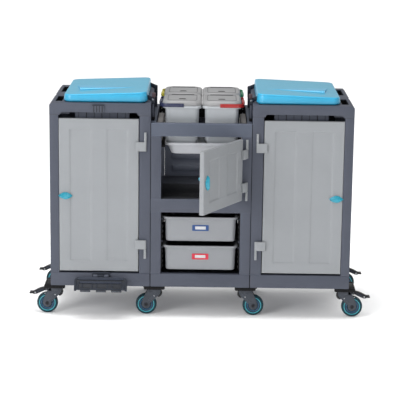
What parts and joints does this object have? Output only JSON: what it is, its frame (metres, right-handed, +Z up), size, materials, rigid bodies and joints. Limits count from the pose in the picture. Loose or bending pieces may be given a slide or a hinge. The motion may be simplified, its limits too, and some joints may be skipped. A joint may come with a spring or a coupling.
{
  "type": "housekeeping cart",
  "caption": "Wide modular housekeeping cart: lidded linen cabinets with doors either side of a low centre with lidded buckets, an open cupboard and drawers, on swivel castors.",
  "frame": {"origin": "on the floor, below the middle of the box that holds the cart with its cupboard door standing open", "axes": "+X to the right as seen from the front, along the length; +Y towards the back; +Z up"},
  "size_m": [1.6184, 0.9286, 1.0706],
  "materials": {
    "frame_slate": "matte moulded slate grey plastic",
    "door_grey": "satin light grey moulded plastic",
    "container_grey": "satin grey moulded plastic",
    "lid_blue": "glossy cyan blue plastic",
    "latch_blue": "glossy cyan blue plastic",
    "wheel_tyre": "dark teal rubber tread on a blue hub",
    "castor_grey": "grey moulded plastic",
    "fittings_dark": "dark grey moulded plastic",
    "handle_navy": "navy plastic",
    "handle_red": "red plastic",
    "handle_yellow": "yellow plastic",
    "handle_green": "green plastic"
  },
  "bodies": {
    "frame": {"bucket_tray": "container_grey", "left_back_panel": "frame_slate", "left_base": "frame_slate", "left_inner_side": "frame_slate", "left_outer_side": "frame_slate", "left_top_frame": "frame_slate", "middle_back_panel": "frame_slate", "middle_base": "frame_slate", "middle_left_side": "frame_slate", "middle_right_side": "frame_slate", "middle_shelf": "frame_slate", "middle_top_frame": "frame_slate", "right_back_panel": "frame_slate", "right_base": "frame_slate", "right_inner_side": "frame_slate", "right_outer_side": "frame_slate", "right_top_frame": "frame_slate"},
    "bucket_front_left": {"bucket_front_left": "container_grey"},
    "bucket_front_right": {"bucket_front_right": "container_grey"},
    "bucket_handle_front_left": {"bucket_handle_front_left": "handle_navy"},
    "bucket_handle_front_right": {"bucket_handle_front_right": "handle_red"},
    "bucket_handle_rear_left": {"bucket_handle_rear_left": "handle_yellow"},
    "bucket_handle_rear_right": {"bucket_handle_rear_right": "handle_green"},
    "bucket_lid_front_left": {"bucket_lid_front_left": "container_grey"},
    "bucket_lid_front_right": {"bucket_lid_front_right": "container_grey"},
    "bucket_lid_rear_left": {"bucket_lid_rear_left": "container_grey"},
    "bucket_lid_rear_right": {"bucket_lid_rear_right": "container_grey"},
    "bucket_rear_left": {"bucket_rear_left": "container_grey"},
    "bucket_rear_right": {"bucket_rear_right": "container_grey"},
    "castor_brake_left_outer_front": {"castor_brake_left_outer_front": "fittings_dark"},
    "castor_brake_left_outer_rear": {"castor_brake_left_outer_rear": "fittings_dark"},
    "castor_brake_right_outer_front": {"castor_brake_right_outer_front": "fittings_dark"},
    "castor_brake_right_outer_rear": {"castor_brake_right_outer_rear": "fittings_dark"},
    "castor_fork_left_inner_front": {"castor_fork_left_inner_front": "castor_grey"},
    "castor_fork_left_inner_rear": {"castor_fork_left_inner_rear": "castor_grey"},
    "castor_fork_left_outer_front": {"castor_fork_left_outer_front": "castor_grey"},
    "castor_fork_left_outer_rear": {"castor_fork_left_outer_rear": "castor_grey"},
    "castor_fork_right_inner_front": {"castor_fork_right_inner_front": "castor_grey"},
    "castor_fork_right_inner_rear": {"castor_fork_right_inner_rear": "castor_grey"},
    "castor_fork_right_outer_front": {"castor_fork_right_outer_front": "castor_grey"},
    "castor_fork_right_outer_rear": {"castor_fork_right_outer_rear": "castor_grey"},
    "castor_wheel_left_inner_front": {"castor_wheel_left_inner_front": "wheel_tyre"},
    "castor_wheel_left_inner_rear": {"castor_wheel_left_inner_rear": "wheel_tyre"},
    "castor_wheel_left_outer_front": {"castor_wheel_left_outer_front": "wheel_tyre"},
    "castor_wheel_left_outer_rear": {"castor_wheel_left_outer_rear": "wheel_tyre"},
    "castor_wheel_right_inner_front": {"castor_wheel_right_inner_front": "wheel_tyre"},
    "castor_wheel_right_inner_rear": {"castor_wheel_right_inner_rear": "wheel_tyre"},
    "castor_wheel_right_outer_front": {"castor_wheel_right_outer_front": "wheel_tyre"},
    "castor_wheel_right_outer_rear": {"castor_wheel_right_outer_rear": "wheel_tyre"},
    "cupboard_door": {"cupboard_door": "door_grey"},
    "cupboard_latch": {"cupboard_latch": "latch_blue"},
    "left_door": {"left_door": "door_grey"},
    "left_door_latch": {"left_door_latch": "latch_blue"},
    "left_lid": {"left_lid": "lid_blue"},
    "lid_pedal": {"lid_pedal": "fittings_dark"},
    "lower_drawer": {"lower_drawer": "container_grey"},
    "right_door": {"right_door": "door_grey"},
    "right_door_latch": {"right_door_latch": "latch_blue"},
    "right_lid": {"right_lid": "lid_blue"},
    "upper_drawer": {"upper_drawer": "container_grey"}
  },
  "joints": [
    {"name": "left_door_hinge", "type": "hinge", "parent": "frame", "child": "left_door", "pos_m": [-0.259, -0.12268, 0.587], "axis": [0, 0, 1], "range_deg": [0, 90]},
    {"name": "left_latch_turn", "type": "hinge", "parent": "left_door", "child": "left_door_latch", "pos_m": [-0.6295, -0.11568, 0.586], "axis": [0, 1, 0], "range_deg": [0, 90]},
    {"name": "left_lid_hinge", "type": "hinge", "parent": "frame", "child": "left_lid", "pos_m": [-0.228, 0.17432, 1.031], "axis": [0, 1, 0], "range_deg": [0, 90]},
    {"name": "right_door_hinge", "type": "hinge", "parent": "frame", "child": "right_door", "pos_m": [0.259, -0.12268, 0.587], "axis": [0, 0, -1], "range_deg": [0, 90]},
    {"name": "right_latch_turn", "type": "hinge", "parent": "right_door", "child": "right_door_latch", "pos_m": [0.6295, -0.11568, 0.586], "axis": [0, -1, 0], "range_deg": [0, 90]},
    {"name": "right_lid_hinge", "type": "hinge", "parent": "frame", "child": "right_lid", "pos_m": [0.228, 0.17432, 1.031], "axis": [0, -1, 0], "range_deg": [0, 90]},
    {"name": "cupboard_door_hinge", "type": "hinge", "parent": "frame", "child": "cupboard_door", "pos_m": [0.211, -0.12268, 0.722], "axis": [0, 0, 1], "range_deg": [-61, 29]},
    {"name": "cupboard_latch_turn", "type": "hinge", "parent": "cupboard_door", "child": "cupboard_latch", "pos_m": [0.02816, -0.43808, 0.722], "axis": [0.8746, -0.4848, 0], "range_deg": [-90, 0]},
    {"name": "upper_drawer_slide", "type": "slide", "parent": "frame", "child": "upper_drawer", "axis": [0, -1, 0], "range_m": [0, 0.35]},
    {"name": "lower_drawer_slide", "type": "slide", "parent": "frame", "child": "lower_drawer", "axis": [0, -1, 0], "range_m": [0, 0.35]},
    {"name": "bucket_lift_front_left", "type": "slide", "parent": "frame", "child": "bucket_front_left", "axis": [0, 0, 1], "range_m": [0, 0.26]},
    {"name": "bucket_lid_lift_front_left", "type": "slide", "parent": "bucket_front_left", "child": "bucket_lid_front_left", "axis": [0, 0, 1], "range_m": [0, 0.04]},
    {"name": "bucket_handle_swing_front_left", "type": "hinge", "parent": "bucket_front_left", "child": "bucket_handle_front_left", "pos_m": [-0.092, 0.04932, 1.0095], "axis": [0, 1, 0], "range_deg": [0, 90]},
    {"name": "bucket_lift_front_right", "type": "slide", "parent": "frame", "child": "bucket_front_right", "axis": [0, 0, 1], "range_m": [0, 0.26]},
    {"name": "bucket_lid_lift_front_right", "type": "slide", "parent": "bucket_front_right", "child": "bucket_lid_front_right", "axis": [0, 0, 1], "range_m": [0, 0.04]},
    {"name": "bucket_handle_swing_front_right", "type": "hinge", "parent": "bucket_front_right", "child": "bucket_handle_front_right", "pos_m": [0.092, 0.04932, 1.0095], "axis": [0, -1, 0], "range_deg": [0, 90]},
    {"name": "bucket_lift_rear_left", "type": "slide", "parent": "frame", "child": "bucket_rear_left", "axis": [0, 0, 1], "range_m": [0, 0.26]},
    {"name": "bucket_lid_lift_rear_left", "type": "slide", "parent": "bucket_rear_left", "child": "bucket_lid_rear_left", "axis": [0, 0, 1], "range_m": [0, 0.04]},
    {"name": "bucket_handle_swing_rear_left", "type": "hinge", "parent": "bucket_rear_left", "child": "bucket_handle_rear_left", "pos_m": [-0.092, 0.29932, 1.0095], "axis": [0, 1, 0], "range_deg": [0, 90]},
    {"name": "bucket_lift_rear_right", "type": "slide", "parent": "frame", "child": "bucket_rear_right", "axis": [0, 0, 1], "range_m": [0, 0.26]},
    {"name": "bucket_lid_lift_rear_right", "type": "slide", "parent": "bucket_rear_right", "child": "bucket_lid_rear_right", "axis": [0, 0, 1], "range_m": [0, 0.04]},
    {"name": "bucket_handle_swing_rear_right", "type": "hinge", "parent": "bucket_rear_right", "child": "bucket_handle_rear_right", "pos_m": [0.092, 0.29932, 1.0095], "axis": [0, -1, 0], "range_deg": [0, 90]},
    {"name": "lid_pedal_press", "type": "hinge", "parent": "frame", "child": "lid_pedal", "pos_m": [-0.464, -0.12968, 0.205], "axis": [1, 0, 0], "range_deg": [0, 18]},
    {"name": "castor_swivel_left_outer_front", "type": "hinge", "parent": "frame", "child": "castor_fork_left_outer_front", "pos_m": [-0.685, -0.04068, 0.12], "axis": [0, 0, 1], "continuous": true},
    {"name": "castor_roll_left_outer_front", "type": "hinge", "parent": "castor_fork_left_outer_front", "child": "castor_wheel_left_outer_front", "pos_m": [-0.725, -0.04068, 0.05], "axis": [0, 1, 0], "continuous": true},
    {"name": "castor_brake_press_left_outer_front", "type": "hinge", "parent": "castor_fork_left_outer_front", "child": "castor_brake_left_outer_front", "pos_m": [-0.723, -0.04068, 0.12], "axis": [0, -1, 0], "range_deg": [0, 8]},
    {"name": "castor_swivel_left_outer_rear", "type": "hinge", "parent": "frame", "child": "castor_fork_left_outer_rear", "pos_m": [-0.685, 0.38932, 0.12], "axis": [0, 0, 1], "continuous": true},
    {"name": "castor_roll_left_outer_rear", "type": "hinge", "parent": "castor_fork_left_outer_rear", "child": "castor_wheel_left_outer_rear", "pos_m": [-0.725, 0.38932, 0.05], "axis": [0, 1, 0], "continuous": true},
    {"name": "castor_brake_press_left_outer_rear", "type": "hinge", "parent": "castor_fork_left_outer_rear", "child": "castor_brake_left_outer_rear", "pos_m": [-0.723, 0.38932, 0.12], "axis": [0, -1, 0], "range_deg": [0, 8]},
    {"name": "castor_swivel_left_inner_front", "type": "hinge", "parent": "frame", "child": "castor_fork_left_inner_front", "pos_m": [-0.2145, -0.04068, 0.12], "axis": [0, 0, 1], "continuous": true},
    {"name": "castor_roll_left_inner_front", "type": "hinge", "parent": "castor_fork_left_inner_front", "child": "castor_wheel_left_inner_front", "pos_m": [-0.2545, -0.04068, 0.05], "axis": [0, 1, 0], "continuous": true},
    {"name": "castor_swivel_left_inner_rear", "type": "hinge", "parent": "frame", "child": "castor_fork_left_inner_rear", "pos_m": [-0.2145, 0.38932, 0.12], "axis": [0, 0, 1], "continuous": true},
    {"name": "castor_roll_left_inner_rear", "type": "hinge", "parent": "castor_fork_left_inner_rear", "child": "castor_wheel_left_inner_rear", "pos_m": [-0.2545, 0.38932, 0.05], "axis": [0, 1, 0], "continuous": true},
    {"name": "castor_swivel_right_outer_front", "type": "hinge", "parent": "frame", "child": "castor_fork_right_outer_front", "pos_m": [0.685, -0.04068, 0.12], "axis": [0, 0, 1], "continuous": true},
    {"name": "castor_roll_right_outer_front", "type": "hinge", "parent": "castor_fork_right_outer_front", "child": "castor_wheel_right_outer_front", "pos_m": [0.725, -0.04068, 0.05], "axis": [0, 1, 0], "continuous": true},
    {"name": "castor_brake_press_right_outer_front", "type": "hinge", "parent": "castor_fork_right_outer_front", "child": "castor_brake_right_outer_front", "pos_m": [0.723, -0.04068, 0.12], "axis": [0, 1, 0], "range_deg": [0, 8]},
    {"name": "castor_swivel_right_outer_rear", "type": "hinge", "parent": "frame", "child": "castor_fork_right_outer_rear", "pos_m": [0.685, 0.38932, 0.12], "axis": [0, 0, 1], "continuous": true},
    {"name": "castor_roll_right_outer_rear", "type": "hinge", "parent": "castor_fork_right_outer_rear", "child": "castor_wheel_right_outer_rear", "pos_m": [0.725, 0.38932, 0.05], "axis": [0, 1, 0], "continuous": true},
    {"name": "castor_brake_press_right_outer_rear", "type": "hinge", "parent": "castor_fork_right_outer_rear", "child": "castor_brake_right_outer_rear", "pos_m": [0.723, 0.38932, 0.12], "axis": [0, 1, 0], "range_deg": [0, 8]},
    {"name": "castor_swivel_right_inner_front", "type": "hinge", "parent": "frame", "child": "castor_fork_right_inner_front", "pos_m": [0.2145, -0.04068, 0.12], "axis": [0, 0, 1], "continuous": true},
    {"name": "castor_roll_right_inner_front", "type": "hinge", "parent": "castor_fork_right_inner_front", "child": "castor_wheel_right_inner_front", "pos_m": [0.2545, -0.04068, 0.05], "axis": [0, 1, 0], "continuous": true},
    {"name": "castor_swivel_right_inner_rear", "type": "hinge", "parent": "frame", "child": "castor_fork_right_inner_rear", "pos_m": [0.2145, 0.38932, 0.12], "axis": [0, 0, 1], "continuous": true},
    {"name": "castor_roll_right_inner_rear", "type": "hinge", "parent": "castor_fork_right_inner_rear", "child": "castor_wheel_right_inner_rear", "pos_m": [0.2545, 0.38932, 0.05], "axis": [0, 1, 0], "continuous": true}
  ],
  "couplings": [
    {"joint": "lid_pedal_press", "follows": "left_lid_hinge", "ratio": 0.2}
  ]
}
